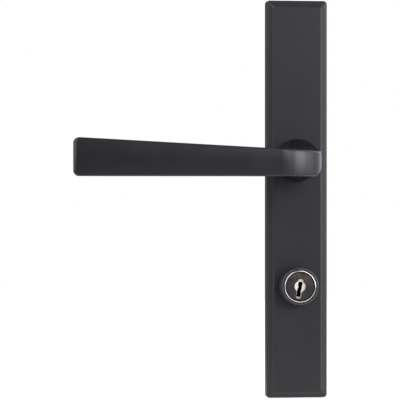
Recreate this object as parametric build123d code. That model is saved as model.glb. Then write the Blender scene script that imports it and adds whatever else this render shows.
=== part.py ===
from build123d import *
import os
from math import atan2, cos, degrees, radians, sin, sqrt

# The outside half of a storm door lever set: a long plate, a sprung lever and a key cylinder.
# The frame is in millimetres. The origin is where the spindle axis meets the face of the door,
# X runs to the right, Z runs up, and the front of the set faces -Y. A depth is the distance
# in front of the face of the door, so a point at a depth of 10 has a Y of -10.

# Plate
plate_width = 38.1
plate_height = 246.0
plate_top = 99.0
plate_side_depth = 6.0
plate_side_wall = 2.0
plate_face_wall = 1.8
plate_corner_radius = 2.2
plate_shoulder_round = 1.2
band_width = 1.9
band_rise = 0.6
slope_width = 2.2
slope_rise = 2.0
slope_corner_radius = 1.2
face_edge_round = 1.6
edge_round = 0.35
rib_thickness = 1.4
rib_depth = 2.6
rib_pitch = 15.0

# Mounting posts
upper_post_setback = 37.0
lower_post_setback = 29.0
post_radius = 4.0
post_length = 26.0
post_hole_radius = 1.9
post_hole_length = 20.0
post_shank_radius = 2.5
post_boss_radius = 5.6
post_boss_end_depth = 1.2

# Lever
lever_reach = 142.1
lever_front = 52.9
grip_setback = 3.5
grip_thickness = 12.0
grip_bottom = -10.15
grip_top_at_neck = 5.6
grip_top_at_tip = 13.35
front_crown_radius = 70.0
front_crown_height = -1.0
tip_corner_radius = 3.4
neck_base_radius = 13.2
neck_radius = 11.75
neck_skirt = 2.0
elbow_start = 24.0
inner_bend_radius = 7.5
shoulder_flat = 16.0
grip_edge_round = 1.3
grip_back_chamfer = 0.8
neck_edge_round = 0.5

# Lever bearing and return spring
journal_radius = 7.5
journal_flat = 6.6
journal_tail = 7.0
bush_wall = 1.6
bush_flange_radius = 12.0
bush_flange_thickness = 0.5
housing_radius = 15.2
housing_sheet = 0.8
housing_floor_depth = 1.5
housing_ear_reach = 21.5
housing_ear_radius = 4.2
housing_screw_radius = 1.5
housing_screw_head_radius = 2.7
housing_screw_head_height = 1.2
housing_boss_radius = 3.6
housing_screw_length = 4.2
screw_recess_reach = 1.6
screw_recess_width = 0.7
screw_recess_depth = 0.7
cam_radius = 10.6
cam_thickness = 1.1
cam_lobe_root = 8.5
cam_lobe_reach = 13.4
cam_lobe_angle = 24.0
cam_tab_angle = 5.0
cam_tab_width = 1.2
cam_tab_height = 1.6
lever_travel = 38.0
stop_inner_radius = 11.2
spring_wire_radius = 0.45
spring_coil_radius = 9.0
spring_turns = 2.0
spring_pitch = 1.0
spring_moving_leg = 4.0
spring_fixed_leg = 6.0
washer_thickness = 0.4
washer_bow = 0.45
washer_width = 2.0
ring_thickness = 1.0
ring_width = 2.2
ring_groove_depth = 0.8
ring_gap = 7.0

# Spindle
spindle_side = 8.0
spindle_length = 62.0
spindle_socket_depth = 14.0
spindle_pin_radius = 1.25
spindle_pin_setback = 3.0
spindle_end_chamfer = 0.6

# Key cylinder
lock_height = -77.7
lock_tilt = 9.0
collar_height = 10.0
collar_base_radius = 11.7
collar_front_radius = 11.5
collar_front_round = 0.6
barrel_radius = 9.45
lip_radius = 9.8
lip_thickness = 1.8
lip_proud = 0.2
lip_gap = 0.6
cap_radius = 8.75
cap_thickness = 1.4
cap_recess = 0.5
plug_head_radius = 8.2
plug_head_thickness = 1.0
plug_radius = 6.35
lock_body_radius = 7.9
lock_body_length = 22.0
lock_flange_thickness = 1.2
chamber_width = 7.4
chamber_rise = 15.2
cover_thickness = 0.8
cover_width = 4.4
lock_clip_thickness = 1.0
lock_clip_half_width = 12.4
lock_clip_top = 12.6
lock_clip_leg = 9.0
lock_clip_corner_radius = 1.4
lock_flat = 8.25

# Plug and pins
keyway_width = 2.6
keyway_top = 2.9
keyway_bottom = -6.6
ward_size = 0.35
ward_height = 1.2
cap_slot_width = 3.4
cap_slot_top = 4.6
cap_slot_bottom = -7.6
cap_slot_corner_radius = 1.2
cap_hole_radius = 3.5
pin_radius = 1.42
pin_pitch = 3.96
first_pin_setback = 2.9
key_pin_lengths = (4.4, 5.2, 4.0, 4.9, 4.6)
key_pin_nose_round = 0.9
driver_pin_length = 4.4
pin_end_round = 0.4
pin_spring_wire_radius = 0.16
pin_spring_coil_radius = 1.05
pin_spring_pitch = 0.85
plug_clip_thickness = 0.8
plug_clip_width = 2.4
plug_groove_depth = 0.9
plug_tail = 5.0
tailpiece_width = 7.0
tailpiece_thickness = 1.5
tailpiece_length = 34.0
tailpiece_seat = 3.8
tailpiece_pin_radius = 0.75

# How faces and edges are picked: the normal of a front face, and edges that lie together
flat_limit = 0.3
level_limit = 0.12
same_place = 1e-4

# Clearances
running_clearance = 0.06
fixed_clearance = 0.05
end_clearance = 0.1
stop_clearance_angle = 1.5
cap_gap = 0.3

# Sizes worked out from the ones above
plate_depth = plate_side_depth + band_rise + slope_rise
plate_bottom = plate_top - plate_height
upper_post_height = plate_top - upper_post_setback
lower_post_height = plate_bottom + lower_post_setback
plate_middle = plate_top - plate_height / 2
face_back = plate_depth - plate_face_wall
neck_back = plate_depth + bush_flange_thickness + end_clearance
grip_slope = (grip_top_at_tip - grip_top_at_neck) / lever_reach
elbow_radius = lever_front - elbow_start
elbow_centre = neck_radius - elbow_radius
bush_radius = journal_radius + running_clearance + bush_wall
housing_inside = housing_floor_depth + housing_sheet
cam_depth = housing_inside + end_clearance
spring_depth = cam_depth + cam_thickness + end_clearance + spring_wire_radius
washer_depth = housing_floor_depth - washer_bow - washer_thickness
ring_depth = washer_depth - end_clearance - ring_thickness
groove_radius = journal_radius - ring_groove_depth
lock_front = plate_depth + collar_height + lip_proud
cap_back = lock_front - cap_recess - cap_thickness
head_back = cap_back - plug_head_thickness
clip_depth = face_back - fixed_clearance - lock_clip_thickness
flange_depth = clip_depth - fixed_clearance - lock_flange_thickness
body_back = flange_depth - lock_body_length
bore_radius = plug_radius + running_clearance
hole_radius = pin_radius + running_clearance
cover_bottom = chamber_rise - cover_thickness
key_pin_top = sqrt(plug_radius**2 - pin_radius**2) - running_clearance
pin_hole_bottom = key_pin_top - max(key_pin_lengths) - end_clearance
driver_bottom = bore_radius + running_clearance
driver_top = driver_bottom + driver_pin_length
plug_groove_radius = plug_radius - plug_groove_depth
plug_clip_depth = body_back - end_clearance - plug_clip_thickness
plug_back = plug_clip_depth - end_clearance - plug_tail
last_pin_depth = flange_depth - first_pin_setback - (len(key_pin_lengths) - 1) * pin_pitch
keyway_back = last_pin_depth - 2 * pin_radius

lobe_start = 90 - (cam_lobe_angle + lever_travel) / 2
wire_angle = degrees((spring_wire_radius + fixed_clearance) / stop_inner_radius)
spring_angle = lobe_start + cam_lobe_angle + wire_angle

lock_right = Vector(cos(radians(lock_tilt)), 0, -sin(radians(lock_tilt)))
lock_up = Vector(sin(radians(lock_tilt)), 0, cos(radians(lock_tilt)))


# Planes and simple solids

def facing(depth, height=0.0, across=0.0):
    """A plane that faces the front, with X to the right and Z up."""
    return Plane(origin=(across, -depth, height), x_dir=(1, 0, 0), z_dir=(0, -1, 0))


def lock_point(depth, rise=0.0):
    """A point above the axis of the key cylinder, along its own tilted upright."""
    return Vector(0, -depth, lock_height) + lock_up * rise


def lock_facing(depth):
    """A plane that faces the front on the axis of the key cylinder, with its tilt."""
    return Plane(origin=lock_point(depth), x_dir=lock_right, z_dir=(0, -1, 0))


def lock_upward(depth, rise):
    """A plane across the pin chambers, which faces along the tilted upright."""
    return Plane(origin=lock_point(depth, rise), x_dir=lock_right, z_dir=lock_up)


def disc(plane, radius, thickness):
    return extrude(plane * Circle(radius), thickness)


def tube(plane, outer, inner, thickness):
    return extrude(plane * (Circle(outer) - Circle(inner)), thickness)


def block(plane, left, right, bottom, top, thickness):
    """A box given by its edges on a plane."""
    middle = Pos((left + right) / 2, (bottom + top) / 2)
    return extrude(plane * (middle * Rectangle(right - left, top - bottom)), thickness)


def wedge(plane, inner, outer, start, size, thickness):
    """A piece of a ring between two radii, from a start angle over a size in degrees."""
    with BuildSketch(plane) as sketch:
        with BuildLine():
            near = CenterArc((0, 0), inner, start, size)
            far = CenterArc((0, 0), outer, start, size)
            Line(near @ 0, far @ 0)
            Line(near @ 1, far @ 1)
        make_face()
    return extrude(sketch.sketch, thickness)


def split_ring(plane, outer, inner, thickness, gap):
    """A flat ring that is open at its lower side."""
    ring = tube(plane, outer, inner, thickness)
    opening = block(plane, -gap / 2, gap / 2, -2 * outer, 0, thickness)
    return ring - opening


# Plate

def plate_outline(inset, radius):
    return RectangleRounded(plate_width - 2 * inset, plate_height - 2 * inset, radius)


def plate_layer(depth, inset, radius, next_depth, next_inset, next_radius):
    """One sloping layer of the plate's border, between two outlines."""
    lower = facing(depth, plate_middle) * plate_outline(inset, radius)
    upper = facing(next_depth, plate_middle) * plate_outline(next_inset, next_radius)
    return loft([lower, upper], ruled=True)


def rib_heights():
    """Cross ribs are spread over each stretch of the plate that holds nothing else."""
    stations = (
        (plate_bottom, plate_side_wall),
        (lower_post_height, post_boss_radius),
        (lock_height, chamber_rise),
        (0.0, housing_ear_reach + housing_ear_radius),
        (upper_post_height, post_boss_radius),
        (plate_top, plate_side_wall),
    )
    heights = []
    for below, above in zip(stations, stations[1:]):
        low = below[0] + below[1]
        high = above[0] - above[1]
        count = int((high - low) // rib_pitch)
        for index in range(count):
            heights.append(low + (index + 1) * (high - low) / (count + 1))
    return heights


def plate_shell():
    """The outside of the plate: straight sides, a flat band, a slope and the raised face."""
    band_depth = plate_side_depth + band_rise
    slope_inset = band_width + slope_width
    shell = extrude(facing(0, plate_middle) * plate_outline(0, plate_corner_radius), plate_side_depth)
    shell += plate_layer(
        plate_side_depth, 0, plate_corner_radius, band_depth, band_width, slope_corner_radius
    )
    shell += plate_layer(
        band_depth, band_width, slope_corner_radius, plate_depth, slope_inset, slope_corner_radius
    )
    face_edges = shell.faces().sort_by(Axis.Y)[0].outer_wire().edges()
    shell = fillet(face_edges, face_edge_round)
    shoulder = [edge for edge in shell.edges() if abs((edge @ 0.5).Y + plate_side_depth) < fixed_clearance]
    return fillet(shoulder, plate_shoulder_round)


def plate_hollow():
    """The hollow of the back, which follows the slope outside and leaves the cross ribs."""
    corner = plate_corner_radius / 2
    slope_start = plate_side_depth - plate_face_wall
    slope_end = plate_side_wall + slope_width
    hollow = extrude(facing(0, plate_middle) * plate_outline(plate_side_wall, corner), slope_start)
    hollow += plate_layer(slope_start, plate_side_wall, corner, face_back, slope_end, corner)
    hollow += disc(facing(0), housing_radius + fixed_clearance, face_back)
    half = plate_width / 2
    for height in rib_heights():
        rib_plane = facing(face_back - rib_depth, height)
        hollow -= block(rib_plane, -half, half, -rib_thickness / 2, rib_thickness / 2, rib_depth)
    return hollow


def escutcheon_plate():
    body = plate_shell() - plate_hollow()
    for height in (upper_post_height, lower_post_height):
        plane = facing(post_boss_end_depth, height)
        body += disc(plane, post_boss_radius, face_back - post_boss_end_depth)
        body -= disc(plane, post_shank_radius + fixed_clearance, face_back - post_boss_end_depth)
    for side in (-1, 1):
        plane = facing(housing_inside, side * housing_ear_reach)
        body += disc(plane, housing_boss_radius, face_back - housing_inside)
        body -= disc(plane, housing_screw_radius, face_back - housing_inside)
    body -= disc(facing(0), bush_radius + fixed_clearance, plate_depth)
    body -= disc(facing(0, lock_height), barrel_radius + fixed_clearance, plate_depth)
    return body


def mounting_post(height):
    """A shouldered post, pressed into its boss and tapped from the back for a long screw."""
    boss_length = face_back - post_boss_end_depth
    shank = disc(facing(post_boss_end_depth, height), post_shank_radius, boss_length - end_clearance)
    body = disc(facing(post_boss_end_depth - post_length, height), post_radius, post_length)
    body = chamfer(body.edges().sort_by(Axis.Y)[-1], edge_round)
    post = body + shank
    end = facing(post_boss_end_depth - post_length, height)
    return post - disc(end, post_hole_radius, post_hole_length)


# Lever

def crowned_section(inner):
    """A section across the lever, from an inner depth out to its slightly crowned front."""
    half_height = 2 * neck_base_radius
    edge_depth = lever_front - front_crown_radius + sqrt(front_crown_radius**2 - half_height**2)
    side = Plane(origin=(elbow_centre, 0, front_crown_height), x_dir=(0, -1, 0), z_dir=(-1, 0, 0))
    with BuildSketch(side) as sketch:
        with BuildLine():
            crown = ThreePointArc((edge_depth, -half_height), (lever_front, 0), (edge_depth, half_height))
            Polyline(crown @ 1, (inner, half_height), (inner, -half_height), crown @ 0)
        make_face()
    return sketch.sketch


def crowned_front():
    """All that lies behind the lever's front: the neck, a round elbow and a slightly bowed grip."""
    elbow_axis = Axis((elbow_centre, -elbow_start, 0), (0, 0, 1))
    front = revolve(crowned_section(elbow_start), elbow_axis, 90)
    grip_length = lever_reach + elbow_centre
    bow_radius = (grip_length**2 + grip_setback**2) / (2 * grip_setback)
    bow_axis = Axis((elbow_centre, bow_radius - lever_front, 0), (0, 0, -1))
    bow_angle = degrees(atan2(grip_length + grip_thickness, bow_radius))
    front += revolve(crowned_section(0), bow_axis, bow_angle)
    reach = 2 * neck_base_radius
    return front + block(facing(0), elbow_centre, reach, -reach, reach, elbow_start)


def shaving(height, base, slope):
    """What is taken off the lever above or below: a curve from the neck's foot, then the flat."""
    start = neck_back + neck_skirt
    end = lever_front - shoulder_flat
    away = 2 * base
    side = Plane(origin=(0, 0, 0), x_dir=(0, -1, 0), z_dir=(-1, 0, 0))
    with BuildSketch(side) as sketch:
        with BuildLine():
            curve = TangentArc((end, height), (start, base), tangent=(-1, 0))
            ahead = 2 * lever_front
            Polyline(curve @ 0, (ahead, height), (ahead, away), (start, away), curve @ 1)
        make_face()
    along = Vector(-1, 0, slope)
    reach = lever_reach + neck_base_radius
    return extrude(Pos(-reach * along) * sketch.sketch, amount=2 * reach, dir=along)


def lever_neck():
    half_profile = Polyline(
        (0, -neck_back),
        (neck_base_radius, -neck_back),
        (neck_base_radius, -neck_back - neck_skirt),
        (neck_radius, -elbow_start),
        (neck_radius, -lever_front),
        (0, -lever_front),
        close=True,
    )
    return revolve(Plane.XY * make_face(half_profile), Axis.Y, 360)


def lever_arm():
    """The grip as a plain bar, with a wide fillet round the neck for the inside of the elbow."""
    back = lever_front - grip_thickness
    half_height = neck_radius + inner_bend_radius + grip_top_at_neck
    arm = lever_neck()
    arm += block(facing(back), -lever_reach, half_height, -half_height, half_height, grip_thickness)
    circles = arm.edges().filter_by(GeomType.CIRCLE)
    seams = [edge for edge in circles if abs((edge @ 0.5).Y + back) < same_place]
    arm = fillet(seams, inner_bend_radius)
    return arm & block(facing(0), -lever_reach, 0, -half_height, half_height, lever_front)


def lever_casting():
    """Neck and bar, shaved together so that the neck runs into the flat grip."""
    foot = neck_base_radius * (1 + grip_slope)
    casting = lever_neck() + lever_arm()
    casting -= shaving(grip_top_at_neck, foot, grip_slope)
    casting -= shaving(grip_bottom, -foot, 0)
    casting &= crowned_front()
    tip = casting.faces().sort_by(Axis.X)[0]
    return fillet(tip.edges().filter_by(Axis.Y), tip_corner_radius)


def rim(faces):
    """The edges round a patch of faces, without those that two of the faces share."""
    edges = [edge for face in faces for edge in face.edges()]
    single = []
    for edge in edges:
        twins = [other for other in edges if (edge @ 0.5 - other @ 0.5).length < same_place]
        if len(twins) == 1:
            single.append(edge)
    return single


def rounded_front(lever):
    """Rounds the rim of the lever's front, but not where the elbow runs into the neck."""
    facing_front = [face for face in lever.faces() if face.normal_at().Y < -flat_limit]
    front = [face for face in facing_front if abs(face.normal_at().Z) < level_limit]
    side = (neck_radius + grip_top_at_neck) / 2
    edges = [edge for edge in rim(front) if (edge @ 0.5).X < side]
    return fillet(edges, grip_edge_round)


def eased_back(lever):
    """Takes the edges off the back of the grip, from its tip to the inside of the elbow."""
    bend_end = -neck_radius - inner_bend_radius
    grip_faces = [face for face in lever.faces() if face.center().X < bend_end]
    back = sorted(grip_faces, key=lambda face: face.normal_at().Y)[-1]
    return chamfer([edge for edge in back.edges() if (edge @ 0.5).X < bend_end], grip_back_chamfer)


def lever_journal():
    """The journal behind the neck, with two flats for the cam and a groove for its ring."""
    journal = disc(facing(-journal_tail), journal_radius, neck_back + journal_tail)
    flat_length = journal_tail + cam_depth + cam_thickness
    reach = 2 * journal_radius
    plane = facing(-journal_tail)
    journal -= block(plane, journal_flat, reach, -reach, reach, flat_length)
    journal -= block(plane, -reach, -journal_flat, -reach, reach, flat_length)
    return journal - tube(facing(ring_depth), reach, groove_radius, ring_thickness + end_clearance)


def lever_handle():
    """Neck, elbow and grip in one casting, with the journal and the socket for the spindle."""
    lever = eased_back(rounded_front(lever_casting()))
    base = lever.faces().sort_by(Axis.Y)[-1]
    lever = chamfer(base.edges(), neck_edge_round)
    lever += lever_journal()
    socket_side = spindle_side + 2 * fixed_clearance
    socket = facing(-journal_tail) * Rectangle(socket_side, socket_side)
    lever -= extrude(socket, journal_tail + spindle_socket_depth)
    return lever - disc(spindle_pin_plane(), spindle_pin_radius + fixed_clearance, 2 * journal_radius)


# Spindle

def spindle_pin_plane():
    """The foot of the cross pin that holds the spindle in the journal."""
    return Plane(origin=(0, journal_tail - spindle_pin_setback, -journal_radius), z_dir=(0, 0, 1))


def spindle():
    plane = facing(spindle_socket_depth - end_clearance - spindle_length)
    bar = extrude(plane * Rectangle(spindle_side, spindle_side), spindle_length)
    ends = bar.faces().sort_by(Axis.Y)
    bar = chamfer(ends[-1].edges(), spindle_end_chamfer)
    return bar - disc(spindle_pin_plane(), spindle_pin_radius + fixed_clearance, 2 * journal_radius)


def spindle_pin():
    plane = spindle_pin_plane().offset(edge_round)
    return disc(plane, spindle_pin_radius, 2 * (journal_radius - edge_round))


# Lever bearing and return spring

def lever_bushing():
    """A flanged bush: its body fills the hole in the plate, its flange carries the neck."""
    bore = journal_radius + running_clearance
    body = tube(facing(face_back), bush_radius, bore, plate_face_wall)
    return body + tube(facing(plate_depth), bush_flange_radius, bore, bush_flange_thickness)


def spring_housing():
    """A drawn cup with two ears. A raised ring on its floor stops the cam at both ends."""
    ears = Rectangle(2 * housing_ear_radius, 2 * housing_ear_reach)
    outline = Circle(housing_radius) + ears
    for side in (-1, 1):
        outline += Pos(0, side * housing_ear_reach) * Circle(housing_ear_radius)
        outline -= Pos(0, side * housing_ear_reach) * Circle(housing_screw_radius + end_clearance)
    outline -= Circle(journal_radius + end_clearance)
    cup = extrude(facing(housing_floor_depth) * outline, housing_sheet)
    inside = housing_radius - housing_sheet
    wall_height = face_back - end_clearance - housing_floor_depth
    cup += tube(facing(housing_floor_depth), housing_radius, inside, wall_height)
    window = cam_lobe_angle + lever_travel + 2 * stop_clearance_angle
    stop_start = lobe_start - stop_clearance_angle + window
    stop = wedge(
        facing(housing_inside),
        stop_inner_radius,
        inside + fixed_clearance,
        stop_start,
        360 - window,
        cam_thickness + end_clearance,
    )
    cup += stop
    slot_angle = radians(spring_angle)
    slot_plane = Plane(
        origin=(0, -fixed_leg_depth(), 0),
        x_dir=(sin(slot_angle), 0, -cos(slot_angle)),
        z_dir=(cos(slot_angle), 0, sin(slot_angle)),
    )
    slot_half = spring_wire_radius + fixed_clearance
    slot = slot_plane * Rectangle(2 * slot_half, 2 * slot_half)
    return cup - extrude(slot, housing_radius + housing_sheet)


def housing_screw(side):
    """A pan head screw in one of the plate's two small bosses."""
    height = side * housing_ear_reach
    head_back_depth = housing_floor_depth - housing_screw_head_height
    head = disc(facing(head_back_depth, height), housing_screw_head_radius, housing_screw_head_height)
    head = fillet(head.edges().sort_by(Axis.Y)[-1], edge_round)
    plane = facing(head_back_depth, height)
    reach = screw_recess_reach
    width = screw_recess_width / 2
    head -= block(plane, -reach, reach, -width, width, screw_recess_depth)
    head -= block(plane, -width, width, -reach, reach, screw_recess_depth)
    shank_radius = housing_screw_radius - fixed_clearance
    return head + disc(facing(housing_floor_depth, height), shank_radius, housing_screw_length)


def return_cam():
    """A stamped cam on the journal's flats. Its lobe meets the stops, its tab turns the spring."""
    plane = facing(cam_depth)
    cam = disc(plane, cam_radius, cam_thickness)
    cam += wedge(plane, cam_lobe_root, cam_lobe_reach, lobe_start, cam_lobe_angle, cam_thickness)
    flat = journal_flat + fixed_clearance
    hole = Circle(journal_radius + fixed_clearance) & Rectangle(2 * flat, 4 * journal_radius)
    cam -= extrude(plane * hole, cam_thickness)
    tab = wedge(
        plane,
        stop_inner_radius,
        stop_inner_radius + cam_tab_width,
        lobe_start + cam_lobe_angle - cam_tab_angle,
        cam_tab_angle,
        cam_thickness + cam_tab_height,
    )
    return cam + tab


def fixed_leg_depth():
    return spring_depth + spring_turns * spring_pitch


def coil(plane, coil_radius, wire_radius, pitch, turns, lefthand):
    """A round wire wound on a helix that starts on the plane's own X direction."""
    path = Helix(pitch, pitch * turns, coil_radius, lefthand=lefthand)
    start = Plane(origin=path @ 0, z_dir=path % 0)
    wire = sweep(start * Circle(wire_radius), path=path, is_frenet=True)
    return plane * wire


def return_spring():
    """A torsion spring round the journal: one leg on the cam's tab, one in the housing's slot."""
    angle = radians(spring_angle)
    outward = Vector(cos(angle), 0, sin(angle))
    plane = Plane(origin=(0, -spring_depth, 0), x_dir=outward, z_dir=(0, -1, 0))
    spring = coil(plane, spring_coil_radius, spring_wire_radius, spring_pitch, spring_turns, True)
    for depth, leg in ((spring_depth, spring_moving_leg), (fixed_leg_depth(), spring_fixed_leg)):
        corner = outward * spring_coil_radius + Vector(0, -depth, 0)
        spring += disc(Plane(origin=corner, z_dir=outward), spring_wire_radius, leg)
        spring += Pos(corner) * Sphere(spring_wire_radius)
    return spring


def curved_washer():
    """A bowed washer that takes up the lever's end play."""
    outer = journal_radius + end_clearance + washer_width
    top = housing_floor_depth - fixed_clearance
    plan = Plane(origin=(0, 0, 0), x_dir=(1, 0, 0), z_dir=(0, 0, -1))
    with BuildSketch(plan) as sketch:
        with BuildLine():
            upper = ThreePointArc((-outer, top - washer_bow), (0, top), (outer, top - washer_bow))
            lower = ThreePointArc(
                (-outer, top - washer_bow - washer_thickness),
                (0, top - washer_thickness),
                (outer, top - washer_bow - washer_thickness),
            )
            Line(upper @ 0, lower @ 0)
            Line(upper @ 1, lower @ 1)
        make_face()
    sheet = extrude(sketch.sketch, outer, both=True)
    ring = tube(facing(0), outer, journal_radius + end_clearance, housing_floor_depth)
    return sheet & ring


def retaining_ring():
    inner = groove_radius + fixed_clearance
    plane = facing(ring_depth + fixed_clearance)
    return split_ring(plane, inner + ring_width, inner, ring_thickness, ring_gap)


# Key cylinder

def cylinder_collar():
    """The turned collar on the face of the plate, with a counterbore for the cylinder's lip."""
    front = plate_depth + collar_height
    seat = lock_front - lip_thickness
    bore = barrel_radius + fixed_clearance
    mouth = lip_radius + lip_gap
    profile = Polyline(
        (bore, -plate_depth),
        (collar_base_radius, -plate_depth),
        (collar_front_radius, -front),
        (mouth, -front),
        (mouth, -seat),
        (bore, -seat),
        close=True,
    )
    collar = revolve(Plane.XY * make_face(profile), Axis.Y, 360)
    rims = collar.edges().filter_by(GeomType.CIRCLE).group_by(Axis.Y)[0].sort_by(SortBy.RADIUS)
    collar = fillet(rims[-1], collar_front_round)
    return Pos(0, 0, lock_height) * collar


def chamber_depths():
    """How deep each pin chamber lies, from the front one to the back one."""
    front = flange_depth - first_pin_setback
    return [front - index * pin_pitch for index in range(len(key_pin_lengths))]


def cylinder_housing():
    """Barrel, lip and pin chambers in one piece of brass."""
    seat = lock_front - lip_thickness
    housing = disc(lock_facing(flange_depth), barrel_radius, seat - flange_depth)
    housing += disc(lock_facing(seat), lip_radius, lip_thickness)
    housing = fillet(housing.faces().sort_by(Axis.Y)[0].edges(), edge_round)
    groove = lock_facing(clip_depth - fixed_clearance)
    groove_width = lock_clip_thickness + 2 * fixed_clearance
    reach = 2 * barrel_radius
    housing -= block(groove, lock_flat, reach, -reach, reach, groove_width)
    housing -= block(groove, -reach, -lock_flat, -reach, reach, groove_width)
    housing += disc(lock_facing(body_back), lock_body_radius, lock_body_length)
    half = chamber_width / 2
    chamber = block(lock_facing(body_back), -half, half, 0, chamber_rise, lock_body_length)
    chamber = fillet(chamber.faces().sort_by(Axis.Z)[-1].edges().filter_by(Axis.Y), edge_round)
    housing += chamber
    housing -= disc(lock_facing(body_back), bore_radius, lock_front - body_back)
    housing -= disc(lock_facing(head_back), plug_head_radius + running_clearance, lock_front - head_back)
    housing -= disc(lock_facing(cap_back), cap_radius + cap_gap, lock_front - cap_back)
    for depth in chamber_depths():
        housing -= disc(lock_upward(depth, plug_radius / 2), hole_radius, chamber_rise)
    cover_half = cover_width / 2 + fixed_clearance
    channel_length = lock_body_length - cover_thickness
    return housing - block(
        lock_facing(body_back), -cover_half, cover_half, cover_bottom, 2 * chamber_rise, channel_length
    )


def pin_chamber_cover():
    half = cover_width / 2
    length = lock_body_length - cover_thickness - fixed_clearance
    return block(lock_facing(body_back), -half, half, cover_bottom, chamber_rise, length)


def cylinder_clip():
    """A fork of spring steel in the barrel's two flats, behind the face of the plate."""
    height = lock_clip_top + lock_clip_leg
    middle = Pos(0, (lock_clip_top - lock_clip_leg) / 2)
    outline = middle * RectangleRounded(2 * lock_clip_half_width, height, lock_clip_corner_radius)
    flat = lock_flat + fixed_clearance
    bridge = barrel_radius + fixed_clearance
    outline -= Pos(0, (bridge - 2 * height) / 2) * Rectangle(2 * flat, bridge + 2 * height)
    return extrude(lock_facing(clip_depth) * outline, lock_clip_thickness)


def driver_pin(depth):
    pin = disc(lock_upward(depth, driver_bottom), pin_radius, driver_pin_length)
    return chamfer(pin.edges().filter_by(GeomType.CIRCLE), pin_end_round)


def key_pin(depth, length):
    """A key pin with a round nose, its flat end at the surface of the plug."""
    pin = disc(lock_upward(depth, key_pin_top - length), pin_radius, length)
    nose = pin.edges().filter_by(GeomType.CIRCLE).sort_by(Axis.Z)[0]
    return fillet(nose, key_pin_nose_round)


def pin_spring(depth):
    low = driver_top + pin_spring_wire_radius + fixed_clearance
    high = cover_bottom - pin_spring_wire_radius - fixed_clearance
    turns = (high - low) / pin_spring_pitch
    return coil(
        lock_upward(depth, low),
        pin_spring_coil_radius,
        pin_spring_wire_radius,
        pin_spring_pitch,
        turns,
        False,
    )


# Plug

def cylinder_plug():
    """The plug, with its keyway, its pin holes and the slot for the tailpiece."""
    plug = disc(lock_facing(plug_back), plug_radius, head_back - plug_back)
    plug += disc(lock_facing(head_back), plug_head_radius, plug_head_thickness)
    half = keyway_width / 2
    length = cap_back - keyway_back
    keyway = block(lock_facing(keyway_back), -half, half, keyway_bottom, keyway_top, length)
    left_ward = -ward_height
    right_ward = left_ward - 2 * ward_height
    plane = lock_facing(keyway_back)
    keyway -= block(plane, -half, ward_size - half, left_ward, left_ward + ward_height, length)
    keyway -= block(plane, half - ward_size, half, right_ward, right_ward + ward_height, length)
    plug -= keyway
    for depth in chamber_depths():
        plug -= disc(lock_upward(depth, pin_hole_bottom), hole_radius, plug_radius)
    groove_width = plug_clip_thickness + 2 * fixed_clearance
    groove = lock_facing(plug_clip_depth - fixed_clearance)
    plug -= tube(groove, 2 * plug_radius, plug_groove_radius, groove_width)
    slot_half = tailpiece_thickness / 2 + fixed_clearance
    slot_reach = tailpiece_width / 2 + fixed_clearance
    plug -= block(lock_facing(plug_back), -slot_half, slot_half, -slot_reach, slot_reach, tailpiece_seat)
    return plug - tailpiece_pin_hole()


def tailpiece_pin_plane():
    """The foot of the cross pin that holds the tailpiece in the plug."""
    origin = lock_point(plug_back + tailpiece_seat / 2) - lock_right * plug_radius
    return Plane(origin=origin, z_dir=lock_right)


def tailpiece_pin_hole():
    return disc(tailpiece_pin_plane(), tailpiece_pin_radius + fixed_clearance, 2 * plug_radius)


def tailpiece_pin():
    plane = tailpiece_pin_plane().offset(edge_round)
    return disc(plane, tailpiece_pin_radius, 2 * (plug_radius - edge_round))


def tailpiece():
    """The flat blade that turns the bolt of the lock in the door."""
    half = tailpiece_thickness / 2
    reach = tailpiece_width / 2
    front = plug_back + tailpiece_seat - end_clearance
    blade = block(lock_facing(front - tailpiece_length), -half, half, -reach, reach, tailpiece_length)
    end = blade.faces().sort_by(Axis.Y)[-1]
    corners = [edge for edge in end.edges() if edge.length < 2 * tailpiece_thickness]
    blade = chamfer(corners, tailpiece_thickness)
    return blade - tailpiece_pin_hole()


def plug_clip():
    inner = plug_groove_radius + fixed_clearance
    return split_ring(
        lock_facing(plug_clip_depth), inner + plug_clip_width, inner, plug_clip_thickness, plug_radius
    )


def cylinder_face_cap():
    """The dark cap on the plug's head, with a keyhole-shaped opening."""
    cap = disc(lock_facing(cap_back), cap_radius, cap_thickness)
    cap = fillet(cap.faces().sort_by(Axis.Y)[0].edges(), edge_round)
    slot_height = cap_slot_top - cap_slot_bottom
    middle = Pos(0, (cap_slot_top + cap_slot_bottom) / 2)
    opening = Circle(cap_hole_radius)
    opening += middle * RectangleRounded(cap_slot_width, slot_height, cap_slot_corner_radius)
    return cap - extrude(lock_facing(cap_back) * opening, cap_thickness)


# Writing the parts

def all_parts():
    parts = {
        "escutcheon_plate": escutcheon_plate(),
        "upper_mounting_post": mounting_post(upper_post_height),
        "lower_mounting_post": mounting_post(lower_post_height),
        "lever_handle": lever_handle(),
        "lever_bushing": lever_bushing(),
        "spring_housing": spring_housing(),
        "housing_screw_upper": housing_screw(1),
        "housing_screw_lower": housing_screw(-1),
        "return_cam": return_cam(),
        "return_spring": return_spring(),
        "curved_washer": curved_washer(),
        "retaining_ring": retaining_ring(),
        "spindle": spindle(),
        "spindle_pin": spindle_pin(),
        "cylinder_collar": cylinder_collar(),
        "cylinder_housing": cylinder_housing(),
        "cylinder_clip": cylinder_clip(),
        "pin_chamber_cover": pin_chamber_cover(),
        "cylinder_plug": cylinder_plug(),
        "cylinder_face_cap": cylinder_face_cap(),
        "plug_clip": plug_clip(),
        "tailpiece": tailpiece(),
        "tailpiece_pin": tailpiece_pin(),
    }
    for number, (depth, length) in enumerate(zip(chamber_depths(), key_pin_lengths), 1):
        parts[f"key_pin_{number}"] = key_pin(depth, length)
        parts[f"driver_pin_{number}"] = driver_pin(depth)
        parts[f"pin_spring_{number}"] = pin_spring(depth)
    return parts


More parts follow.
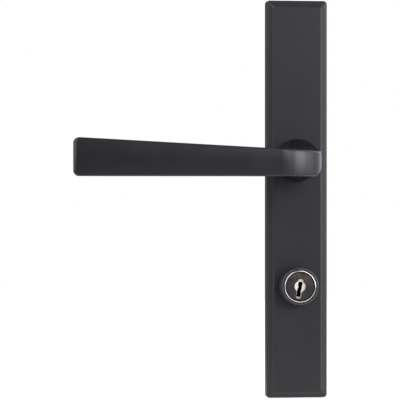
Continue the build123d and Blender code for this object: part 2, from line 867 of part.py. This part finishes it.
os.makedirs("parts", exist_ok=True)
for name, solid in all_parts().items():
    export_step(solid, f"parts/{name}.step")
    print(name, round(solid.volume, 1))
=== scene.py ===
import math

import bpy
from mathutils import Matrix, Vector


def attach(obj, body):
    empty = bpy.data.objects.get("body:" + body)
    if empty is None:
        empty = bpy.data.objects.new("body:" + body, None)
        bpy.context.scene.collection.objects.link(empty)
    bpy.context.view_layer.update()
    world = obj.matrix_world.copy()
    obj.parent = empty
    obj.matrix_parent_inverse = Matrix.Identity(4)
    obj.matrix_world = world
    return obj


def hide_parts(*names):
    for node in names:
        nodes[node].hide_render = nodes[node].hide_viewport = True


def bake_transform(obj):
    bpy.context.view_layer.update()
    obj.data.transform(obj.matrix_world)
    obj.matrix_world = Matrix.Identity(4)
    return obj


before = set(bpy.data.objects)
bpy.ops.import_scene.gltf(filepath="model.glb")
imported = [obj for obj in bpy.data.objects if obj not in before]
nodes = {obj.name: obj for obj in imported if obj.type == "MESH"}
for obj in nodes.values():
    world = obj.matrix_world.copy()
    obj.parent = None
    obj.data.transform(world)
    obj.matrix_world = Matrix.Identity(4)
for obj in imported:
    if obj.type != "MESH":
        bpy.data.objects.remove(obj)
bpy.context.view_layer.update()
print("frame loaded:", len(nodes), "nodes")

mmPerMetre = 1000
smoothAngle = math.radians(30)


# colours are written as sRGB hex and turned to linear here
def linearColor(hexText):
    channels = []
    for start in (1, 3, 5):
        value = int(hexText[start:start + 2], 16) / 255
        channels.append(value / 12.92 if value <= 0.04045 else ((value + 0.055) / 1.055) ** 2.4)
    return (*channels, 1.0)


# adds one node, with its settings by attribute or socket name and its links by socket name. A ramp's
# stops are pairs of a position and a colour. A colour mix has its factor in socket 0, its colours in
# 6 and 7 and its result in output 2
def addNode(tree, kind, settings=None, links=None):
    node = tree.nodes.new(kind)
    for name, value in (settings or {}).items():
        if name == "stops":
            elements = node.color_ramp.elements
            while len(elements) < len(value):
                elements.new(0.5)
            for element, (position, color) in zip(elements, value):
                element.position = position
                element.color = color
        elif isinstance(name, int) or name in node.inputs:
            node.inputs[name].default_value = value
        else:
            setattr(node, name, value)
    for name, socket in (links or {}).items():
        tree.links.new(socket, node.inputs[name])
    return node


def newMaterial(name):
    material = bpy.data.materials.new(name)
    material.use_nodes = True
    material.node_tree.nodes.clear()
    return material, material.node_tree


# gives CAD nodes their material
def dress(material, *names):
    for name in names:
        piece = nodes[name]
        piece.data.materials.clear()
        piece.data.materials.append(material)


# polyester powder coat on die-cast zinc: matt black, with the faint orange peel of baked powder.
# The powder's grit is nearer 0.1 mm and is drawn coarser, so that it shows
powder = {"ior": 1.5, "noiseSpread": (0.3, 0.7), "roughnessSpread": 0.03}


def powderCoat(coat):
    material, tree = newMaterial(coat["name"])
    low, high = powder["noiseSpread"]
    place = addNode(tree, "ShaderNodeTexCoord").outputs["Object"]
    peel = addNode(
        tree,
        "ShaderNodeTexNoise",
        {"Scale": mmPerMetre / coat["peelMm"], "Detail": 2.0, "Roughness": 0.5},
        {"Vector": place},
    )
    grit = addNode(
        tree, "ShaderNodeTexNoise", {"Scale": mmPerMetre / coat["gritMm"], "Detail": 1.0}, {"Vector": place}
    )
    cloud = addNode(
        tree, "ShaderNodeTexNoise", {"Scale": mmPerMetre / coat["cloudMm"], "Detail": 3.0}, {"Vector": place}
    )
    peelBump = addNode(
        tree,
        "ShaderNodeBump",
        {"Strength": 1.0, "Distance": coat["peelHeightMm"] / mmPerMetre},
        {"Height": peel.outputs["Fac"]},
    )
    gritBump = addNode(
        tree,
        "ShaderNodeBump",
        {"Strength": 1.0, "Distance": coat["gritHeightMm"] / mmPerMetre},
        {"Height": grit.outputs["Fac"], "Normal": peelBump.outputs["Normal"]},
    )
    tint = addNode(
        tree,
        "ShaderNodeValToRGB",
        {"stops": ((low, linearColor(coat["darkColor"])), (high, linearColor(coat["color"])))},
        {"Fac": cloud.outputs["Fac"]},
    )
    roughness = addNode(
        tree,
        "ShaderNodeMapRange",
        {
            "From Min": low,
            "From Max": high,
            "To Min": coat["roughness"] - powder["roughnessSpread"],
            "To Max": coat["roughness"] + powder["roughnessSpread"],
        },
        {"Value": cloud.outputs["Fac"]},
    )
    shader = addNode(
        tree,
        "ShaderNodeBsdfPrincipled",
        {"IOR": powder["ior"], "Metallic": 0.0, "Specular IOR Level": coat["gloss"]},
        {
            "Base Color": tint.outputs["Color"],
            "Roughness": roughness.outputs["Result"],
            "Normal": gritBump.outputs["Normal"],
        },
    )
    addNode(tree, "ShaderNodeOutputMaterial", links={"Surface": shader.outputs["BSDF"]})
    return material


# the way from the key cylinder's axis up to the frame's origin, and how far the cylinder is turned
lock = {"offset": (0, 0, 0.0777), "tilt": 9.0}

# metal shows the rings that turning leaves, or the fine grain of drawn, plated or rolled metal. Both
# are finer on the real pieces and are drawn as coarse as they need to be to show. A wave texture at
# scale 1 repeats every waveLength metres. A surface counts as a wall by how little it faces the front
metals = {
    "waveLength": 2 * math.pi / 20,
    "stainSpread": (0.35, 0.65),
    "patchSpread": (0.3, 0.6),
    "marksSpread": (0.2, 0.8),
    "wallSpread": (-0.9, -0.5),
    "roughnessSpread": 0.05,
}


# a mask that grows along the key cylinder's tilted upright, above its axis or both ways
def uprightMask(tree, fromAxis, stain, patch):
    tilt = math.radians(lock["tilt"])
    upright = addNode(
        tree,
        "ShaderNodeVectorMath",
        {"operation": "DOT_PRODUCT", 1: (math.sin(tilt), 0, math.cos(tilt))},
        {0: fromAxis},
    )
    height = upright.outputs["Value"]
    if patch["bothWays"]:
        height = addNode(tree, "ShaderNodeMath", {"operation": "ABSOLUTE"}, {0: height}).outputs["Value"]
    rise = addNode(
        tree,
        "ShaderNodeMapRange",
        {
            "From Min": patch["fromMm"] / mmPerMetre,
            "From Max": patch["toMm"] / mmPerMetre,
            "To Max": patch["strength"],
        },
        {"Value": height},
    )
    low, high = metals["patchSpread"]
    uneven = addNode(tree, "ShaderNodeMapRange", {"From Min": low, "From Max": high}, {"Value": stain})
    return addNode(
        tree,
        "ShaderNodeMath",
        {"operation": "MULTIPLY"},
        {0: rise.outputs["Result"], 1: uneven.outputs["Result"]},
    ).outputs["Value"]


# a mask for the key cylinder's front inside a radius, ahead of a depth, where a painted shade line goes
def paintedShadeEdgeMask(tree, fromAxis, place, paintedShadeEdge):
    flat = addNode(tree, "ShaderNodeVectorMath", {"operation": "MULTIPLY", 1: (1, 0, 1)}, {0: fromAxis})
    radius = addNode(
        tree, "ShaderNodeVectorMath", {"operation": "LENGTH"}, {0: flat.outputs["Vector"]}
    )
    inside = addNode(
        tree,
        "ShaderNodeMapRange",
        {
            "From Min": paintedShadeEdge["radiusMm"] / mmPerMetre,
            "From Max": (paintedShadeEdge["radiusMm"] - paintedShadeEdge["edgeMm"]) / mmPerMetre,
        },
        {"Value": radius.outputs["Value"]},
    )
    depth = addNode(tree, "ShaderNodeSeparateXYZ", links={"Vector": place}).outputs["Y"]
    ahead = addNode(
        tree,
        "ShaderNodeMath",
        {"operation": "LESS_THAN", 1: -paintedShadeEdge["fromDepthMm"] / mmPerMetre},
        {0: depth},
    )
    return addNode(
        tree,
        "ShaderNodeMath",
        {"operation": "MULTIPLY"},
        {0: inside.outputs["Result"], 1: ahead.outputs["Value"]},
    ).outputs["Value"]


# metal whose marks change its gloss, with stains and, where it has them, a patch that is brass wear on
# the plug and a painted reflection on the cap, an inner bevel darkened as painted shade, and walls of another
# colour
def workedMetal(metal):
    material, tree = newMaterial(metal["name"])
    place = addNode(tree, "ShaderNodeTexCoord").outputs["Object"]
    fromAxis = addNode(
        tree,
        "ShaderNodeMapping",
        {"Location": metal.get("offset", (0, 0, 0)), "Scale": metal.get("stretch", (1, 1, 1))},
        {"Vector": place},
    ).outputs["Vector"]
    if metal["marks"] == "rings":
        marks = addNode(
            tree,
            "ShaderNodeTexWave",
            {
                "wave_type": "RINGS",
                "rings_direction": "Y",
                "Scale": metals["waveLength"] * mmPerMetre / metal["pitchMm"],
                "Distortion": 1.5,
                "Detail": 2.0,
            },
            {"Vector": fromAxis},
        )
    else:
        marks = addNode(
            tree,
            "ShaderNodeTexNoise",
            {"Scale": mmPerMetre / metal["pitchMm"], "Detail": 3.0},
            {"Vector": fromAxis},
        )
    stain = addNode(
        tree, "ShaderNodeTexNoise", {"Scale": mmPerMetre / metal["stainMm"], "Detail": 4.0}, {"Vector": place}
    ).outputs["Fac"]
    low, high = metals["stainSpread"]
    color = addNode(
        tree,
        "ShaderNodeValToRGB",
        {"stops": ((low, linearColor(metal["darkColor"])), (high, linearColor(metal["color"])))},
        {"Fac": stain},
    ).outputs["Color"]
    masks = []
    if "patch" in metal:
        masks.append((uprightMask(tree, fromAxis, stain, metal["patch"]), metal["patch"]["color"]))
    if "paintedShadeEdge" in metal:
        masks.append((paintedShadeEdgeMask(tree, fromAxis, place, metal["paintedShadeEdge"]), metal["paintedShadeEdge"]["color"]))
    if "wallColor" in metal:
        normal = addNode(tree, "ShaderNodeNewGeometry").outputs["Normal"]
        facing = addNode(tree, "ShaderNodeSeparateXYZ", links={"Vector": normal}).outputs["Y"]
        low, high = metals["wallSpread"]
        walls = addNode(tree, "ShaderNodeMapRange", {"From Min": low, "From Max": high}, {"Value": facing})
        masks.append((walls.outputs["Result"], metal["wallColor"]))
    for mask, second in masks:
        mix = addNode(
            tree, "ShaderNodeMix", {"data_type": "RGBA", 7: linearColor(second)}, {0: mask, 6: color}
        )
        color = mix.outputs[2]
    low, high = metals["marksSpread"]
    roughness = addNode(
        tree,
        "ShaderNodeMapRange",
        {
            "From Min": low,
            "From Max": high,
            "To Min": metal["roughness"] - metals["roughnessSpread"],
            "To Max": metal["roughness"] + metals["roughnessSpread"],
        },
        {"Value": marks.outputs["Fac"]},
    )
    bump = addNode(
        tree,
        "ShaderNodeBump",
        {"Strength": 1.0, "Distance": metal["heightMm"] / mmPerMetre},
        {"Height": marks.outputs["Fac"]},
    )
    shader = addNode(
        tree,
        "ShaderNodeBsdfPrincipled",
        {"Metallic": 1.0},
        {"Base Color": color, "Roughness": roughness.outputs["Result"], "Normal": bump.outputs["Normal"]},
    )
    addNode(tree, "ShaderNodeOutputMaterial", links={"Surface": shader.outputs["BSDF"]})
    return material


# moulded nylon: a dull natural plastic with a little light passing into it
def mouldedNylon(nylon):
    material, tree = newMaterial(nylon["name"])
    place = addNode(tree, "ShaderNodeTexCoord").outputs["Object"]
    grain = addNode(
        tree, "ShaderNodeTexNoise", {"Scale": mmPerMetre / nylon["grainMm"], "Detail": 2.0}, {"Vector": place}
    )
    bump = addNode(
        tree,
        "ShaderNodeBump",
        {"Strength": 1.0, "Distance": nylon["heightMm"] / mmPerMetre},
        {"Height": grain.outputs["Fac"]},
    )
    shader = addNode(
        tree,
        "ShaderNodeBsdfPrincipled",
        {
            "Base Color": linearColor(nylon["color"]),
            "Roughness": nylon["roughness"],
            "IOR": nylon["ior"],
            "Subsurface Weight": nylon["depthWeight"],
            "Subsurface Scale": nylon["depthMm"] / mmPerMetre,
        },
        {"Normal": bump.outputs["Normal"]},
    )
    addNode(tree, "ShaderNodeOutputMaterial", links={"Surface": shader.outputs["BSDF"]})
    return material


# the plate's coat: the flattest black, which lights only softly along the border
plateCoat = powderCoat({
    "name": "matt black powder coat", "gloss": 0.43, "color": "#171819", "darkColor": "#141516",
    "roughness": 0.42, "peelMm": 0.9, "peelHeightMm": 0.008, "gritMm": 0.3, "gritHeightMm": 0.002,
    "cloudMm": 30,
})

# the lever's coat: a smoother, satin black, so the elbow carries a bright band
leverCoat = powderCoat({
    "name": "satin black powder coat", "gloss": 0.5, "color": "#141316", "darkColor": "#121114",
    "roughness": 0.32, "peelMm": 1.1, "peelHeightMm": 0.012, "gritMm": 0.35, "gritHeightMm": 0.003,
    "cloudMm": 25,
})

# the collar's coat: the plate's black, painted greyer as painted light, standing in for the light from the
# left on the collar's side
collarCoatWithPaintedLight = powderCoat({
    "name": "black powder coat on the collar", "gloss": 0.5, "color": "#3a393c", "darkColor": "#353437",
    "roughness": 0.36, "peelMm": 0.9, "peelHeightMm": 0.012, "gritMm": 0.3, "gritHeightMm": 0.003,
    "cloudMm": 20,
})

# nickel plate on turned brass: a warm white face, worn to brass at both ends of the keyway by the
# key, with bare and dull brass in the keyway and round the sides
nickelPlate = workedMetal({
    "name": "nickel plated brass", "color": "#f3f2ee", "darkColor": "#e6e4df", "roughness": 0.42,
    "marks": "rings", "offset": lock["offset"], "pitchMm": 0.6, "heightMm": 0.002, "stainMm": 6,
    "patch": {"color": "#c9b27c", "bothWays": True, "fromMm": 3.4, "toMm": 4.4, "strength": 0.9},
    "wallColor": "#7d6a3e",
})

# polished nickel: the cylinder's lip is a bright ring, and its inner bevel is painted dark grey as painted
# shade, the shadow line between the ring and the cap
nickelLip = workedMetal({
    "name": "polished nickel lip", "color": "#f0f0f0", "darkColor": "#e4e4e4", "roughness": 0.26,
    "marks": "rings", "offset": lock["offset"], "pitchMm": 0.6, "heightMm": 0.002, "stainMm": 6,
    "paintedShadeEdge": {"color": "#4f4e50", "radiusMm": 9.38, "edgeMm": 0.1, "fromDepthMm": 16.5},
})

# dark oxide on pressed brass: brown-black, with a painted brown reflection above the keyhole,
# and worn to brass on the keyhole's own edges
darkCap = workedMetal({
    "name": "dark oxide on brass", "color": "#42413f", "darkColor": "#373633", "roughness": 0.42,
    "marks": "rings", "offset": lock["offset"], "pitchMm": 0.8, "heightMm": 0.002, "stainMm": 3,
    "patch": {"color": "#5f4f43", "bothWays": False, "fromMm": 1.5, "toMm": 6.0, "strength": 0.7},
    "wallColor": "#8f8062",
})

# turned brass, bare: yellow and fairly bright
turnedBrass = workedMetal({
    "name": "turned brass", "color": "#d9b96a", "darkColor": "#c6a456", "roughness": 0.25,
    "marks": "grain", "pitchMm": 0.4, "heightMm": 0.002, "stainMm": 4,
})

# zinc plate on steel: light grey with dull, cloudy patches
zincPlate = workedMetal({
    "name": "zinc plated steel", "color": "#c6c6c2", "darkColor": "#b1b1ad", "roughness": 0.33,
    "marks": "grain", "pitchMm": 0.6, "heightMm": 0.003, "stainMm": 8,
})

# zinc plated sheet: a duller grey, with the rolled sheet's grain drawn out along its length
pressedSteel = workedMetal({
    "name": "pressed zinc plated sheet", "color": "#bbbbb7", "darkColor": "#a5a5a1", "roughness": 0.38,
    "marks": "grain", "stretch": (1, 1, 0.15), "pitchMm": 0.5, "heightMm": 0.003, "stainMm": 10,
})

# hardened spring steel under oil: dark grey and smooth
springSteel = workedMetal({
    "name": "oiled spring steel", "color": "#6e6d6f", "darkColor": "#565557", "roughness": 0.3,
    "marks": "grain", "pitchMm": 0.5, "heightMm": 0.002, "stainMm": 5,
})

# natural nylon: the cream of undyed plastic
nylon = mouldedNylon({
    "name": "natural nylon", "color": "#dcd8cb", "roughness": 0.45, "ior": 1.53,
    "depthWeight": 0.1, "depthMm": 1.0, "grainMm": 0.5, "heightMm": 0.004,
})

dress(plateCoat, "escutcheon_plate")
dress(collarCoatWithPaintedLight, "cylinder_collar")
dress(leverCoat, "lever_handle")
dress(nickelLip, "cylinder_housing")
dress(nickelPlate, "cylinder_plug")
dress(darkCap, "cylinder_face_cap")
dress(nylon, "lever_bushing")
dress(pressedSteel, "spring_housing", "return_cam")
dress(zincPlate, "upper_mounting_post", "lower_mounting_post", "housing_screw_upper", "housing_screw_lower")
dress(zincPlate, "spindle", "spindle_pin", "tailpiece", "tailpiece_pin")
dress(springSteel, "return_spring", "curved_washer", "retaining_ring", "cylinder_clip", "plug_clip")
dress(turnedBrass, "pin_chamber_cover")
chambers = 5
for number in range(1, chambers + 1):
    dress(turnedBrass, f"key_pin_{number}", f"driver_pin_{number}")
    dress(springSteel, f"pin_spring_{number}")
print("materials assigned")

# the cut thread in each mounting post's hole: a three-sided ridge, screwed along the hole
thread = {
    "upper": 0.062, "lower": -0.118, "start": 0.0052, "pitch": 0.0007, "turns": 27,
    "radius": 0.00178, "ridge": 0.0002, "steps": 24,
}
for side in ("upper", "lower"):
    bpy.ops.object.select_all(action="DESELECT")
    bpy.ops.mesh.primitive_circle_add(
        vertices=3,
        radius=thread["ridge"],
        location=(thread["radius"], 0, 0),
        rotation=(0, 0, math.radians(90)),
    )
    ridge = bpy.context.object
    ridge.name = side + "_post_thread"
    bpy.ops.object.transform_apply(location=True, rotation=True, scale=True)
    bpy.ops.object.modifier_add(type="SCREW")
    screw = ridge.modifiers[-1]
    screw.axis = "Y"
    screw.screw_offset = thread["pitch"]
    screw.iterations = thread["turns"]
    screw.steps = thread["steps"]
    bpy.ops.object.modifier_apply(modifier=screw.name)
    bpy.ops.object.mode_set(mode="EDIT")
    bpy.ops.mesh.select_all(action="SELECT")
    bpy.ops.mesh.fill_holes(sides=3)
    bpy.ops.mesh.select_all(action="SELECT")
    bpy.ops.mesh.normals_make_consistent(inside=False)
    bpy.ops.object.mode_set(mode="OBJECT")
    bpy.ops.object.shade_smooth_by_angle(angle=smoothAngle)
    ridge.location = (0, thread["start"], thread[side])
    bpy.ops.object.transform_apply(location=True, rotation=False, scale=False)
    ridge.data.materials.append(zincPlate)
    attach(ridge, "plate")
print("threads modelled")

# the return spring winds up as the lever turns: its front leg stays in the housing's slot and
# its rear leg goes with the cam. A copy of it, with doubled points merged and smooth shading, stands in for
# the CAD spring, which is hidden
winding = {"frontLeg": -0.0056, "rearLeg": -0.0045, "merge": 0.000001}
spring = bpy.data.objects.new("winding_spring", nodes["return_spring"].data.copy())
bpy.context.scene.collection.objects.link(spring)
bpy.ops.object.select_all(action="DESELECT")
spring.select_set(True)
bpy.context.view_layer.objects.active = spring
bpy.ops.object.mode_set(mode="EDIT")
bpy.ops.mesh.select_all(action="SELECT")
bpy.ops.mesh.remove_doubles(threshold=winding["merge"])
bpy.ops.object.mode_set(mode="OBJECT")
bpy.ops.object.shade_smooth_by_angle(angle=smoothAngle)
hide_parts("return_spring")
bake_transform(spring)
print("return spring placed")

# a plain pale floor under the plate, white to the camera and darkened by the part's shadow.
# Gloss sees it shine near the part only, and dull surfaces see it grey
stage = {
    "size": 3.0, "height": -0.1475, "color": "#f4f4f4", "bounceColor": "#a0a0a0", "glow": 0.75,
    "glossNear": 0.9, "glossFar": 0.0, "nearReach": 0.15, "farReach": 0.4,
}
bpy.ops.object.select_all(action="DESELECT")
bpy.ops.mesh.primitive_plane_add(size=stage["size"], location=(0, 0, stage["height"]))
floor = bpy.context.object
floor.name = "floor"
bpy.ops.object.transform_apply(location=True, rotation=False, scale=False)
floorPaint, tree = newMaterial("pale floor")
path = addNode(tree, "ShaderNodeLightPath")
spot = addNode(tree, "ShaderNodeNewGeometry").outputs["Position"]
away = addNode(tree, "ShaderNodeVectorMath", {"operation": "LENGTH"}, {0: spot}).outputs["Value"]
shine = addNode(
    tree,
    "ShaderNodeMapRange",
    {
        "From Min": stage["nearReach"],
        "From Max": stage["farReach"],
        "To Min": stage["glossNear"],
        "To Max": stage["glossFar"],
    },
    {"Value": away},
)
mirror = addNode(
    tree,
    "ShaderNodeMath",
    {"operation": "MULTIPLY"},
    {0: shine.outputs["Result"], 1: path.outputs["Is Glossy Ray"]},
)
glow = addNode(
    tree,
    "ShaderNodeMath",
    {"operation": "MULTIPLY_ADD", 1: stage["glow"]},
    {0: path.outputs["Is Camera Ray"], 2: mirror.outputs["Value"]},
)
bounce = addNode(
    tree,
    "ShaderNodeMix",
    {"data_type": "RGBA", 6: linearColor(stage["color"]), 7: linearColor(stage["bounceColor"])},
    {0: path.outputs["Is Diffuse Ray"]},
)
paint = addNode(tree, "ShaderNodeBsdfDiffuse", links={"Color": bounce.outputs[2]})
emission = addNode(tree, "ShaderNodeEmission", {"Color": (1, 1, 1, 1)}, {"Strength": glow.outputs["Value"]})
both = addNode(tree, "ShaderNodeAddShader", links={0: paint.outputs["BSDF"], 1: emission.outputs["Emission"]})
addNode(tree, "ShaderNodeOutputMaterial", links={"Surface": both.outputs["Shader"]})
floor.data.materials.append(floorPaint)

# the world is white to the camera and an even grey to dull surfaces. Gloss sees a room: its front
# is bright on the left, dark in the middle and pale on the right, and dimmer low down, and the wall
# behind the part is brightest at the far left and bright on the right. Each stop is a place from
# -1 to 1 and a level, and turn says how far back the front gives way to the wall
room = {
    "tint": "#f3f2fd", "fillLevel": 0.43, "background": 1.0, "turn": 0.4,
    "heights": ((-0.5, 0.1), (0.0, 0.35), (0.3, 1.0), (0.9, 1.2)),
    "frontSides": ((-0.9, 0.8), (-0.5, 4.4), (-0.15, 0.0), (0.15, 0.55), (0.45, 1.0), (0.9, 1.0)),
    "wallSides": ((-1.0, 2.8), (-0.5, 0.4), (-0.12, 0.0), (0.15, 0.9), (0.5, 1.5), (0.8, 0.9), (1.0, 0.8)),
}
world = bpy.data.worlds.new("studio")
bpy.context.scene.world = world
world.use_nodes = True
tree = world.node_tree
tree.nodes.clear()
path = addNode(tree, "ShaderNodeLightPath")
direction = addNode(tree, "ShaderNodeTexCoord").outputs["Generated"]
axes = addNode(tree, "ShaderNodeSeparateXYZ", links={"Vector": direction})
levels = {}
for name, axis in (("heights", "Z"), ("frontSides", "X"), ("wallSides", "X")):
    spread = addNode(
        tree, "ShaderNodeMapRange", {"From Min": -1.0, "From Max": 1.0}, {"Value": axes.outputs[axis]}
    )
    stops = [((place + 1) / 2, (level, level, level, 1)) for place, level in room[name]]
    ramp = addNode(tree, "ShaderNodeValToRGB", {"stops": stops}, {"Fac": spread.outputs["Result"]})
    levels[name] = ramp.outputs["Color"]
behind = addNode(
    tree, "ShaderNodeMapRange", {"From Min": 0.0, "From Max": room["turn"]}, {"Value": axes.outputs["Y"]}
)
front = addNode(
    tree, "ShaderNodeMapRange", {"From Min": room["turn"], "From Max": 0.0}, {"Value": axes.outputs["Y"]}
)
wall = addNode(
    tree, "ShaderNodeMath", {"operation": "MULTIPLY"}, {0: levels["wallSides"], 1: behind.outputs["Result"]}
)
across = addNode(
    tree, "ShaderNodeMath", {"operation": "MULTIPLY"}, {0: levels["heights"], 1: levels["frontSides"]}
)
ahead = addNode(
    tree,
    "ShaderNodeMath",
    {"operation": "MULTIPLY"},
    {0: across.outputs["Value"], 1: front.outputs["Result"]},
)
glossLevel = addNode(
    tree, "ShaderNodeMath", {"operation": "ADD"}, {0: ahead.outputs["Value"], 1: wall.outputs["Value"]}
)
tint = linearColor(room["tint"])
fill = addNode(tree, "ShaderNodeBackground", {"Color": tint, "Strength": room["fillLevel"]})
white = addNode(tree, "ShaderNodeBackground", {"Color": (1, 1, 1, 1), "Strength": room["background"]})
mirrored = addNode(tree, "ShaderNodeBackground", {"Color": tint}, {"Strength": glossLevel.outputs["Value"]})
seen = addNode(
    tree,
    "ShaderNodeMath",
    {"operation": "MAXIMUM"},
    {0: path.outputs["Is Camera Ray"], 1: path.outputs["Is Transmission Ray"]},
)
dull = addNode(
    tree,
    "ShaderNodeMixShader",
    links={
        0: path.outputs["Is Glossy Ray"],
        1: fill.outputs["Background"],
        2: mirrored.outputs["Background"],
    },
)
sky = addNode(
    tree,
    "ShaderNodeMixShader",
    links={0: seen.outputs["Value"], 1: dull.outputs["Shader"], 2: white.outputs["Background"]},
)
addNode(tree, "ShaderNodeOutputWorld", links={"Surface": sky.outputs["Shader"]})

# soft lamps: the main one at the front right, one further round at the right side, two smaller ones
# nearer the camera, high and level, and a weaker one at the front left
lampLight = {"color": "#f7f6ff", "aim": (0, 0, -0.02)}
lamps = {
    "rightLamp": {"place": (1.44, -0.96, 0.35), "size": 0.95, "power": 16.4},
    "sideLamp": {"place": (1.75, -0.15, 0.1), "size": 0.8, "power": 4.2},
    "highLamp": {"place": (0.45, -1.25, 0.5), "size": 0.5, "power": 3.3},
    "frontLamp": {"place": (0.62, -1.25, 0.2), "size": 0.4, "power": 1.1},
    "leftLamp": {"place": (-1.30, -0.90, 0.3), "size": 0.6, "power": 3.2},
}
for name, lamp in lamps.items():
    data = bpy.data.lights.new(name, "AREA")
    data.size = lamp["size"]
    data.energy = lamp["power"]
    data.color = linearColor(lampLight["color"])[:3]
    light = bpy.data.objects.new(name, data)
    bpy.context.scene.collection.objects.link(light)
    light.location = lamp["place"]
    light.rotation_euler = (Vector(lampLight["aim"]) - light.location).to_track_quat("-Z", "Y").to_euler()

# the camera stands to the left of the plate, level with the middle of the picture
view = {
    "target": (-0.0597, 0.0, -0.0245), "distance": 1.611, "left": 7.9, "above": 0.1,
    "focal": 234.35, "sensor": 36, "farClip": 20,
}
left = math.radians(view["left"])
above = math.radians(view["above"])
forward = Vector((math.sin(left) * math.cos(above), math.cos(left) * math.cos(above), -math.sin(above)))
cameraData = bpy.data.cameras.new("camera")
cameraData.lens = view["focal"]
cameraData.sensor_width = view["sensor"]
cameraData.clip_end = view["farClip"]
camera = bpy.data.objects.new("camera", cameraData)
bpy.context.scene.collection.objects.link(camera)
camera.location = Vector(view["target"]) - forward * view["distance"]
camera.rotation_euler = forward.to_track_quat("-Z", "Y").to_euler()
bpy.context.scene.camera = camera
bpy.context.scene.view_settings.view_transform = "Standard"
print("stage, lamps and camera placed")
